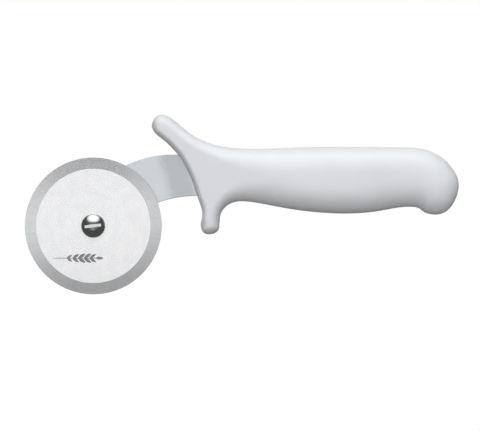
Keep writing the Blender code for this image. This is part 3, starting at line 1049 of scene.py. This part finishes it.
@dataclass
class Handle:
    """The moulded handle: a loft from its front edge to the pommel, with a mouth that the arm comes out of.

    Each section gives a point on the upper side, a point on the under side and, behind the front, the half
    thickness. Heights are above the axle. The front sections are measured from the guard's front face and the
    pommel's from its end. The belly's share the length between them.

    Args:
        datum: The places that it is laid out from.
        front_sections: The sections from the front edge to the neck.
        front_half: Half the thickness of the front sections, before it thins towards the front edge.
        belly_sections: Upper and under heights and half thicknesses of the belly.
        pommel_sections: The sections from the pinch to the pommel's end.
        front_edge: The edge between the tips of the thumb rest and the guard, top to bottom.
        front_round: How far in from the front edge the plastic is rounded.
        limb_round: How far in from the other edges the thumb rest and the guard are rounded.
        grip_round: How far in from the edges the grip is rounded.
        round_power: How full the rounds are.
        thin: The share of the thickness that is left at the front edge.
        grip_from: How far in from the front edge the thickness and the grip's round are full.
        bow_reach: How far along the handle the sections still follow the front edge's curve.
        push: How far the sections behind the front edge are pushed in, so that they don't cross it.
        gap: The gap between the plastic and the steel.
        rows: Steps along the handle.
        columns: Steps down each section.
        crowding: How much finer the steps are at both ends, from 0 to 1.
        crisp: The angle above which an edge stays crisp.
    """

    datum: Datum
    front_sections: tuple[tuple[Point, Point], ...] = (
        ((-0.0249, 0.0510), (0.0001, 0.0003)),
        ((-0.0245, 0.0528), (0.0005, -0.0013)),
        ((-0.0228, 0.0555), (0.0017, -0.0035)),
        ((-0.0193, 0.0569), (0.0053, -0.0043)),
        ((-0.0146, 0.0550), (0.0089, -0.0026)),
        ((-0.0083, 0.0497), (0.0098, 0.0018)),
        ((0.0009, 0.0438), (0.0112, 0.0076)),
        ((0.0132, 0.0403), (0.0167, 0.0119)),
        ((0.0272, 0.0394), (0.0262, 0.0122)),
    )
    front_half: float = 0.0102
    belly_sections: tuple[tuple[float, float, float], ...] = (
        (0.0398, 0.0092, 0.0111),
        (0.0403, 0.0070, 0.0117),
        (0.0404, 0.0063, 0.0118),
        (0.0403, 0.0077, 0.0112),
    )
    pommel_sections: tuple[tuple[Point, Point, float], ...] = (
        ((-0.0235, 0.0399), (-0.0236, 0.0097), 0.0104),
        ((-0.0200, 0.0396), (-0.0203, 0.0090), 0.0105),
        ((-0.0165, 0.0388), (-0.0180, 0.0073), 0.0107),
        ((-0.0125, 0.0372), (-0.0140, 0.0059), 0.0110),
        ((-0.0090, 0.0352), (-0.0095, 0.0060), 0.0112),
        ((-0.0055, 0.0322), (-0.0055, 0.0081), 0.0113),
        ((-0.0022, 0.0278), (-0.0024, 0.0122), 0.0113),
        ((-0.0007, 0.0249), (-0.0008, 0.0158), 0.0113),
        ((0.0, 0.0215), (0.0, 0.0198), 0.0113),
    )
    front_edge: tuple[Point, ...] = (
        (-0.0249, 0.0510),
        (-0.0241, 0.0489),
        (-0.0186, 0.0437),
        (-0.0134, 0.0386),
        (-0.0103, 0.0350),
        (-0.0075, 0.0301),
        (-0.0051, 0.0252),
        (-0.0032, 0.0203),
        (-0.0017, 0.0154),
        (0.0001, 0.0105),
        (0.0010, 0.0056),
        (0.0003, 0.0018),
        (0.0001, 0.0003),
    )
    front_round: float = 0.0032
    limb_round: float = 0.0050
    grip_round: float = 0.0145
    round_power: float = 2.3
    thin: float = 0.75
    grip_from: float = 0.045
    bow_reach: float = 0.036
    push: float = 0.0025
    gap: float = 0.00005
    rows: int = 190
    columns: int = 64
    crowding: float = 0.93
    crisp: float = math.radians(55.0)

    def sections(self) -> np.ndarray:
        """Returns a row for each section: upper x and z, under x and z, and half the thickness."""
        guard, pommel = self.datum.guard, self.datum.pommel
        rows = [(guard + a, b, guard + c, d, self.front_half) for (a, b), (c, d) in self.front_sections]
        neck, pinch = rows[-1], self.pommel_sections[0]
        for index, (top_z, under_z, half) in enumerate(self.belly_sections):
            share = (index + 1) / (len(self.belly_sections) + 1)
            top_x = neck[0] + share * (pommel + pinch[0][0] - neck[0])
            under_x = neck[2] + share * (pommel + pinch[1][0] - neck[2])
            rows.append((top_x, top_z, under_x, under_z, half))
        rows += [(pommel + a, b, pommel + c, d, half) for (a, b), (c, d), half in self.pommel_sections]
        sections = np.array(rows)
        sections[:, (1, 3)] += self.datum.hub.z
        return sections

    @staticmethod
    def chain_distance(points: np.ndarray, chain: np.ndarray) -> np.ndarray:
        """Returns each point's distance to a chain of points."""
        run = np.diff(chain, axis=0)
        length = np.maximum((run**2).sum(axis=1), WELD**4)
        nearest = np.full(len(points), np.inf)
        for start, along, square in zip(chain[:-1], run, length):
            offset = points - start
            share = np.clip((offset @ along) / square, 0.0, 1.0)
            nearest = np.minimum(nearest, ((offset - share[:, None] * along) ** 2).sum(axis=1))
        return np.sqrt(nearest)

    def round(self, distance: np.ndarray, reach: np.ndarray | float) -> np.ndarray:
        """Returns how far a round edge has risen, from 0 to 1, at a distance from it."""
        depth = 1 - np.minimum(distance / reach, 1.0)
        return (1 - depth**self.round_power) ** (1 / self.round_power)

    def grid(self) -> np.ndarray:
        """Returns the front half of the handle as a grid of points, along it and down each section.

        The grid fills the side outline and stands out by rounds that depend on the distance to the outline.
        """
        sections = self.sections()
        knots = (lengths(sections[:, 0:2]) + lengths(sections[:, 2:4])) / 2
        share = np.arange(self.rows + 1) / self.rows
        stations = knots[-1] * (share - self.crowding * np.sin(FULL_TURN * share) / FULL_TURN)
        rows = spline(sections, knots, stations)
        down = (1 - np.cos(np.pi * np.arange(self.columns + 1) / self.columns)) / 2
        edge = np.array(self.front_edge)
        marks = lengths(edge)
        edge = spline(edge, marks, down * marks[-1]) + (self.datum.guard, self.datum.hub.z)
        chord = edge[0] + down[:, None] * (edge[-1] - edge[0])
        bow = 1 - ease(stations / self.bow_reach)
        upper, under = rows[:, None, 0:2], rows[:, None, 2:4]
        plane = upper + down[None, :, None] * (under - upper) + bow[:, None, None] * (edge - chord)[None]
        tangent = np.gradient(edge, down * marks[-1], axis=0)
        inward = np.stack((-tangent[:, 1], tangent[:, 0]), axis=1) * np.sin(np.pi * down)[:, None]
        push = self.push * (1 - np.exp(-stations / (2 * self.push))) * bow
        plane = plane + push[:, None, None] * inward[None]

        points = plane.reshape(-1, 2)
        sides = np.vstack((plane[:, 0], plane[-1, 1:], plane[-2::-1, -1]))
        from_front = self.chain_distance(points, plane[0]).reshape(plane.shape[:2])
        from_side = self.chain_distance(points, sides).reshape(plane.shape[:2])
        full = ease(from_front / self.grip_from)
        reach = self.limb_round + (self.grip_round - self.limb_round) * full
        half = rows[:, None, 4] * (self.thin + (1 - self.thin) * full)
        stand = half * self.round(from_front, self.front_round) * self.round(from_side, reach)
        stand[0] = stand[-1] = 0.0
        stand[:, 0] = stand[:, -1] = 0.0
        return np.dstack((plane[:, :, 0], -stand, plane[:, :, 1]))

    def build(self, plastic: bpy.types.Material, socket: bpy.types.Object) -> bpy.types.Object:
        """Builds the handle, cuts the arm's socket in it, dresses it and returns it."""
        grid = self.grid()
        rows, columns, _ = grid.shape
        faces = []
        for row in range(rows - 1):
            for column in range(columns - 1):
                a = row * columns + column
                b, c, d = a + 1, a + 1 + columns, a + columns
                if (2 * row < rows) == (2 * column < columns - 1):
                    faces += [(a, b, c), (a, c, d)]
                else:
                    faces += [(a, b, d), (b, c, d)]
        mesh = bpy.data.meshes.new("handle_half")
        mesh.from_pydata(grid.reshape(-1, 3).tolist(), [], faces)
        handle = add_object("handle_moulding", mesh)
        mirror = handle.modifiers.new("other_half", "MIRROR")
        mirror.use_axis = (False, True, False)
        mirror.merge_threshold = WELD
        handle = cut(baked(handle, "handle_moulding"), socket)
        give(handle, plastic)
        handle.data.shade_smooth()
        handle.data.set_sharp_from_angle(angle=self.crisp)
        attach(handle, Body.HELD.value)
        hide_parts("handle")
        return handle


@dataclass
class Wheel:
    """The disc with its ground bevels, the mark etched in its front and the sleeve in its middle.

    Args:
        datum: The places that it is laid out from.
        bevel: Width of the bevels.
        edge: Thickness of the disc at its edge.
        hole: Radius of the disc's hole.
        sleeve_wall: The sleeve's wall.
        hole_corner: Radius of the corners of the disc's hole and of the sleeve.
        edge_corner: Radius of the corners of the disc's edge.
        crisp: The angle above which an edge stays crisp, below that of the bevel.
        mark_place: The mark's start from the axle, along X and up.
    """

    datum: Datum
    bevel: float = 0.0058
    edge: float = 0.0003
    hole: float = 0.00485
    sleeve_wall: float = 0.0015
    hole_corner: float = 0.0001
    edge_corner: float = 0.00006
    crisp: float = math.radians(3.0)
    mark_place: Point = (-0.0205, -0.0165)

    def disc(self, lathe: Lathe, face: bpy.types.Material, ground: bpy.types.Material) -> bpy.types.Object:
        """Turns the disc."""
        place = Place.of("wheel_blade")
        front, back, radius = place.low.y, place.high.y, place.radius
        flat = radius - self.bevel
        half = self.edge / 2
        corners = [
            (self.hole, back, self.hole_corner),
            (flat, back, 0.0),
            (radius, half, self.edge_corner),
            (radius, -half, self.edge_corner),
            (flat, front, 0.0),
            (self.hole, front, self.hole_corner),
        ]
        disc = lathe.turn("wheel_disc", rounded(corners), face, steps=192, rim=(flat - WELD, ground))
        return shade(disc, self.crisp)

    def mark(self, etched: bpy.types.Material) -> bpy.types.Object:
        """Lays the mark on the disc's front."""
        sizes = {
            "Pairs": 5,
            "Pitch": 0.0029,
            "Grain Length": 0.0042,
            "Grain Width": 0.0014,
            "Lean": 0.56,
            "Stalk": 0.0070,
            "Stem Width": 0.00035,
            "Thickness": 0.00004,
            "Finish": etched,
        }
        mark = run_tree("wheel_mark", sprig_tree(), sizes)
        front = Place.of("wheel_blade").low.y
        shift = self.datum.hub + Vector((self.mark_place[0], front, self.mark_place[1]))
        mark.data.transform(Matrix.Translation(shift) @ Matrix.Rotation(math.pi / 2, 4, "X"))
        return mark

    def build(
        self,
        lathe: Lathe,
        face: bpy.types.Material,
        ground: bpy.types.Material,
        plastic: bpy.types.Material,
        etched: bpy.types.Material,
    ) -> None:
        """Builds the disc, its mark and its sleeve, and puts them on the turning body."""
        disc = self.disc(lathe, face, ground)
        mark = self.mark(etched)
        place = Place.of("wheel_bush")
        bore = place.radius - self.sleeve_wall
        sleeve = lathe.ring("wheel_sleeve", bore, place, self.hole_corner, plastic)
        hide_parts("wheel_blade")
        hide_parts("wheel_bush")
        for piece, slot in ((disc, Slot.BLADE), (mark, Slot.BLADE), (sleeve, Slot.BUSH)):
            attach(piece, Body.WHEEL.value)


@dataclass
class Axle:
    """The screw and the post that it threads into, both with domed and slotted heads.

    Args:
        datum: The places that they are laid out from.
        barrel: The post's radius.
        screw: The screw's radius.
        bore: The radius of the post's threaded hole.
        head: Height of a head.
        head_rim: Height of its straight rim.
        slot_width: The screwdriver slot's width.
        slot_depth: The slot's depth.
        slot_length: The slot cutter's length, which is more than a head's width.
        slot_tilt: How far the slots are turned from X.
        pitch: The thread's pitch.
        thread: The thread's depth.
        neck: Length of the screw's plain neck.
        tip_gap: The gap between the screw's tip and the bottom of the post's hole.
        worn: Radius of the worn edges.
        sharp: The least angle of the edges that are worn.
    """

    datum: Datum
    barrel: float = 0.003
    screw: float = 0.0019
    bore: float = 0.0022
    head: float = 0.0029
    head_rim: float = 0.0004
    slot_width: float = 0.0014
    slot_depth: float = 0.0011
    slot_length: float = 0.02
    slot_tilt: float = math.radians(7.0)
    pitch: float = 0.0007
    thread: float = 0.0002
    neck: float = 0.0008
    tip_gap: float = 0.0003
    worn: float = 0.00012
    sharp: float = math.radians(35.0)

    def dome(self, radius: float, under: float, side: Side, steps: int = 22) -> list[Point]:
        """Returns a head's profile, from its underside at the rim to the axis."""
        rise = self.head - self.head_rim
        ball = (radius**2 + rise**2) / (2 * rise)
        half_angle = math.asin(radius / ball)
        way = side.value
        centre = under + way * (self.head - ball)
        points = [(radius - self.worn, under), (radius, under + way * self.worn)]
        for step in range(steps):
            angle = half_angle * (1 - step / steps)
            points.append((ball * math.sin(angle), centre + way * ball * math.cos(angle)))
        return points + [(0.0, under + way * self.head)]

    def threaded(self, radius: float, first: float, last: float) -> list[Point]:
        """Returns a straight stretch of profile that is fine enough to take the thread."""
        count = round(abs(last - first) / self.pitch * THREAD_POINTS)
        return [(radius, along) for along in np.linspace(first, last, count + 1)]

    def slotted(self, piece: bpy.types.Object, top: float, side: Side) -> bpy.types.Object:
        """Cuts the screwdriver slot across a head and softens its edges."""
        cage = bmesh.new()
        bmesh.ops.create_cube(cage, size=1.0)
        size = (self.slot_length, 2 * self.slot_depth, self.slot_width)
        bmesh.ops.scale(cage, vec=size, verts=cage.verts)
        mesh = bpy.data.meshes.new(piece.name + "_slot")
        cage.to_mesh(mesh)
        cage.free()
        place = Matrix.Translation(self.datum.hub + Vector((0.0, top, 0.0)))
        mesh.transform(place @ Matrix.Rotation(side.value * self.slot_tilt, 4, "Y"))
        piece = cut(piece, add_object(mesh.name, mesh))
        soften = piece.modifiers.new("worn_edges", "BEVEL")
        soften.width = self.worn
        soften.segments = 2
        soften.limit_method = "ANGLE"
        soften.angle_limit = self.sharp
        return shade(baked(piece, piece.name))

    def build(self, lathe: Lathe, steel: bpy.types.Material) -> None:
        """Builds the screw and the post."""
        place = Place.of("axle_screw")
        under = place.low.y + self.head
        tip = place.high.y
        shank = self.threaded(self.screw, tip - self.worn * 2, under + self.worn * 2)
        outline = [(0.0, tip), (self.screw - self.worn * 2, tip)] + shank + [(self.screw, under)]
        outline += self.dome(place.radius, under, Side.FRONT)
        winding = Thread(self.pitch, self.thread, under + self.neck, tip - self.worn * 3)
        screw = lathe.turn("axle_screw_turned", outline, steel, thread=winding)
        screw = self.slotted(screw, place.low.y, Side.FRONT)

        place = Place.of("axle_post")
        under = place.high.y - self.head
        mouth = place.low.y
        floor = tip + self.tip_gap
        outline = self.dome(place.radius, under, Side.BACK)[::-1]
        outline += [(self.barrel, under), (self.barrel, mouth + self.worn), (self.barrel - self.worn, mouth)]
        outline += [(self.bore + self.worn, mouth), (self.bore, mouth + self.worn)]
        outline += [(self.bore, floor), (0.0, floor)]
        post = lathe.turn("axle_post_turned", outline, steel)
        post = self.slotted(post, place.high.y, Side.BACK)
        for piece, node in ((screw, "axle_screw"), (post, "axle_post")):
            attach(piece, Body.HELD.value)
            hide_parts(node)


@dataclass
class Washers:
    """The washers under the screw's head, between the disc and the arm, and under the post's head.

    Args:
        datum: The places that they are laid out from.
        hole: The radius of their holes.
        corner: The radius of their stamped corners.
        split: The spring washer's gap.
        rise: How far the spring washer climbs in its turn.
    """

    datum: Datum
    hole: float = 0.0033
    corner: float = 0.00012
    split: float = 0.0008
    rise: float = 0.0002

    def spring(self, steel: bpy.types.Material) -> bpy.types.Object:
        """Builds the split spring washer."""
        place = Place.of("lock_washer")
        outer = place.radius
        middle = (self.hole + outer) / 2
        turn = 1 - self.split / (FULL_TURN * middle)
        thickness = place.high.y - place.low.y
        start = place.low.y + thickness / 2 - self.rise / 2
        values = {
            "Middle Radius": middle,
            "Width": outer - self.hole,
            "Thickness": thickness,
            "Round": self.corner,
            "Turn": turn,
            "Rise": self.rise,
            "Steps": 96,
            "Centre": Vector((self.datum.hub.x, start, self.datum.hub.z)),
            "Start": math.pi * (1 - turn) - math.pi / 2,
            "Finish": steel,
        }
        ring = run_tree("washer_lock", split_ring_tree(), values)
        close_up(ring.data)
        return shade(ring)

    def build(self, lathe: Lathe, steel: bpy.types.Material) -> None:
        """Builds the three washers."""
        head, spacer = Place.of("head_washer"), Place.of("spacer_washer")
        pieces = {
            "head_washer": lathe.ring("washer_head", self.hole, head, self.corner, steel),
            "spacer_washer": lathe.ring("washer_spacer", self.hole, spacer, self.corner, steel),
            "lock_washer": self.spring(steel),
        }
        for node, piece in pieces.items():
            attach(piece, Body.HELD.value)
            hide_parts(node)


# ------------------------------------------------------------------------------
# The studio


@dataclass(frozen=True)
class Glow:
    """A soft bright patch on a reflector card, brightest in its middle.

    Args:
        strength: Its brightness in the middle.
        x: Where its middle is, along X.
        z: Where its middle is, upwards.
        wide: Half its width, where it has faded to 0.6.
        high: Half its height, where it has faded to 0.6.
        flat: How flat its middle is: 1 for a soft hill, 2 for a plateau.
    """

    strength: float
    x: float
    z: float
    wide: float
    high: float
    flat: float = 1.0


@dataclass
class Studio:
    """A pale floor, soft lights, and cards that the steel reflects.

    Args:
        target: The middle of the view.
        distance: The camera's distance.
        lens: The camera's lens, in millimetres.
        ambient: Brightness of the light from all round.
        dim: Brightness of the surroundings as the steel reflects them.
        floor_bounce: How much light the floor gives back.
        ambient_tint: Colour of the light from all round.
    """

    target: Vector
    distance: float = 1.023
    lens: float = 150.0
    ambient: float = 0.33
    dim: float = 0.085
    floor_bounce: float = 0.27
    ambient_tint: Triple = (0.955, 0.995, 1.045)

    def sheet(self, name: str, width: float, height: float, place: Matrix) -> bpy.types.Object:
        """Makes a flat sheet in its own XY plane and places it."""
        mesh = bpy.data.meshes.new(name)
        x, y = width / 2, height / 2
        mesh.from_pydata([(-x, -y, 0.0), (x, -y, 0.0), (x, y, 0.0), (-x, y, 0.0)], [], [(0, 1, 2, 3)])
        sheet = add_object(name, mesh)
        sheet.matrix_world = place
        return sheet

    def card(self, name: str, size: Point, place: Matrix, glows: list[Glow]) -> None:
        """Places a dim card that only reflections see, with soft bright patches on it."""
        material = bpy.data.materials.new(name)
        build = Nodes.cleared(material)
        spot = build.split(build.add("ShaderNodeTexCoord", {})["Object"])
        total: Socket | float = self.dim
        for patch in glows:
            across = build.maths("DIVIDE", build.maths("SUBTRACT", spot["X"], patch.x), patch.wide)
            up = build.maths("DIVIDE", build.maths("SUBTRACT", spot["Y"], patch.z), patch.high)
            far = build.maths("ADD", build.maths("MULTIPLY", across, across), build.maths("MULTIPLY", up, up))
            fade = build.maths("POWER", math.exp(-0.5), build.maths("POWER", far, patch.flat))
            total = build.maths("ADD", build.maths("MULTIPLY", fade, patch.strength), total)
        glow = build.add("ShaderNodeEmission", {"Strength": total})["Emission"]
        build.add("ShaderNodeOutputMaterial", {"Surface": glow})
        card = self.sheet(name, *size, place)
        give(card, material)
        card.visible_camera = False
        card.visible_diffuse = False
        card.visible_shadow = False

    def box_light(self, name: str, place: Vector, size: Point, level: float) -> None:
        """Adds a soft light aimed at the tool; its level is what it adds to a white surface that faces it."""
        data = bpy.data.lights.new(name, "AREA")
        data.shape = "RECTANGLE"
        data.size, data.size_y = size
        away = place - self.target
        data.energy = level * math.pi**2 * away.length_squared
        light = add_object(name, data)
        light.matrix_world = facing(place, away)
        light.visible_glossy = False
        light.visible_camera = False

    def floor(self) -> None:
        """Lays the floor: white to look at, a mild reflector for the light and not seen in the steel."""
        floor = self.sheet("floor", 6.0, 6.0, Matrix.Translation((0.0, 0.0, -0.0004)))
        floor.visible_glossy = False
        material = bpy.data.materials.new("floor")
        build = Nodes.cleared(material)
        seen = build.add("ShaderNodeLightPath", {})["Is Camera Ray"]
        bounce = (self.floor_bounce, self.floor_bounce, self.floor_bounce, 1.0)
        pale = build.add("ShaderNodeBsdfDiffuse", {"Color": bounce})["BSDF"]
        white = build.add("ShaderNodeEmission", {"Color": WHITE})["Emission"]
        surface = build.add("ShaderNodeMixShader", {"Fac": seen, 1: pale, 2: white})["Shader"]
        build.add("ShaderNodeOutputMaterial", {"Surface": surface})
        give(floor, material)

    def world(self) -> None:
        """Makes the surroundings: white to look at, even light for the plastic and dim in the steel."""
        world = bpy.data.worlds.new("studio")
        build = Nodes.cleared(world)
        path = build.add("ShaderNodeLightPath", {})
        even = {"Color": (*self.ambient_tint, 1.0), "Strength": self.ambient}
        surface = build.add("ShaderNodeBackground", even)["Background"]
        for ray, strength in (("Is Glossy Ray", self.dim), ("Is Camera Ray", 1.0)):
            other = build.add("ShaderNodeBackground", {"Color": WHITE, "Strength": strength})["Background"]
            surface = build.add("ShaderNodeMixShader", {"Fac": path[ray], 1: surface, 2: other})["Shader"]
        build.add("ShaderNodeOutputWorld", {"Surface": surface})
        bpy.context.scene.world = world

    def camera(self) -> None:
        """Sets the camera square to the disc, level with the middle of the tool."""
        data = bpy.data.cameras.new("camera")
        data.lens = self.lens
        camera = add_object("camera", data)
        camera.location = self.target - Vector((0.0, self.distance, 0.0))
        camera.rotation_euler = (math.pi / 2, 0.0, 0.0)
        bpy.context.scene.camera = camera

    def build(self) -> None:
        """Builds the studio."""
        bpy.context.scene.view_settings.view_transform = "Standard"
        self.world()
        self.floor()
        self.camera()
        self.box_light("top_light", Vector((0.1, -0.9, 1.5)), (1.6, 1.0), 0.57)
        self.box_light("front_light", Vector((-0.2, -1.8, 0.4)), (1.2, 1.0), 0.34)
        self.box_light("rear_light", Vector((0.2, 1.8, 0.8)), (1.4, 1.2), 0.45)
        glows = [
            Glow(0.48, -0.16, -0.01, 0.55, 0.17),
            Glow(0.42, -0.16, -0.01, 0.22, 0.15, 2.0),
            Glow(0.30, -0.43, 0.11, 0.13, 0.10),
            Glow(0.36, 0.13, 0.11, 0.12, 0.09),
            Glow(0.40, -0.58, -0.10, 0.12, 0.10),
            Glow(0.34, -0.16, -0.52, 0.25, 0.10),
        ]
        for name, side in (("front_card", Side.FRONT), ("rear_card", Side.BACK)):
            place = Matrix.Translation((0.0, side.value * 1.1, self.target.z))
            self.card(name, (5.0, 3.0), place @ Matrix.Rotation(math.pi / 2, 4, "X"), glows)
        above = Vector((-0.076, -0.54, 0.87))
        self.card("top_card", (1.9, 1.7), facing(above, above), [Glow(1.6, 0.0, 0.0, 0.62, 0.50, 2.0)])


def main() -> None:
    """Builds the tool piece by piece, then the studio."""
    logging.basicConfig(level=logging.INFO, format="%(name)s: %(message)s")
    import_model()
    wheel = Place.of("wheel_blade")
    pommel = Place.of("handle").high.x
    datum = Datum(wheel.hub, wheel.high.x, pommel, pommel - HANDLE_LENGTH)
    hub = datum.hub
    lathe = Lathe(hub)

    arm = Arm(datum, Place.of("spacer_washer").high.y + ARM_CLEARANCE)
    satin = BrushedBar(
        name="satin_bar",
        light=(0.80, 0.83, 0.85),
        dark=(0.75, 0.78, 0.80),
        smooth=0.25,
        rough=0.28,
        grain=0.0000002,
    )
    arm.build(satin.material())
    log.info("arm")
    handle = Handle(datum)
    handle.build(MouldedPlastic().material(), arm.socket(handle.gap))
    log.info("handle")

    face = TurnedSteel(
        name="satin_face",
        hub=hub,
        light=(0.965, 0.965, 0.975),
        dark=(0.94, 0.94, 0.95),
        smooth=0.19,
        rough=0.23,
        rings=900.0,
        spokes=2.0,
        grain=0.0000003,
    )
    ground = TurnedSteel(
        name="ground_bevel",
        hub=hub,
        light=(0.85, 0.865, 0.875),
        dark=(0.76, 0.775, 0.785),
        smooth=0.19,
        rough=0.23,
        rings=60.0,
        spokes=70.0,
        grain=0.0000005,
    )
    sleeve = PlainPlastic("sleeve_plastic", hub)
    Wheel(datum).build(lathe, face.material(), ground.material(), sleeve.material(), Etching().material())
    log.info("wheel")
    polished = TurnedSteel(
        name="polished_steel",
        hub=hub,
        light=(0.72, 0.73, 0.74),
        dark=(0.66, 0.67, 0.68),
        smooth=0.10,
        rough=0.15,
        rings=2600.0,
        spokes=2.0,
        grain=0.0000006,
        metallic=1.0,
    )
    Axle(datum).build(lathe, polished.material())
    log.info("axle")
    stamped = TurnedSteel(
        name="stamped_steel",
        hub=hub,
        light=(0.60, 0.60, 0.61),
        dark=(0.50, 0.50, 0.51),
        smooth=0.26,
        rough=0.40,
        rings=700.0,
        spokes=5.0,
        grain=0.000003,
    )
    Washers(datum).build(lathe, stamped.material())
    log.info("washers")

    Studio(Vector((-0.0009, 0.0, 0.0403))).build()


if __name__ == "__main__":
    main()
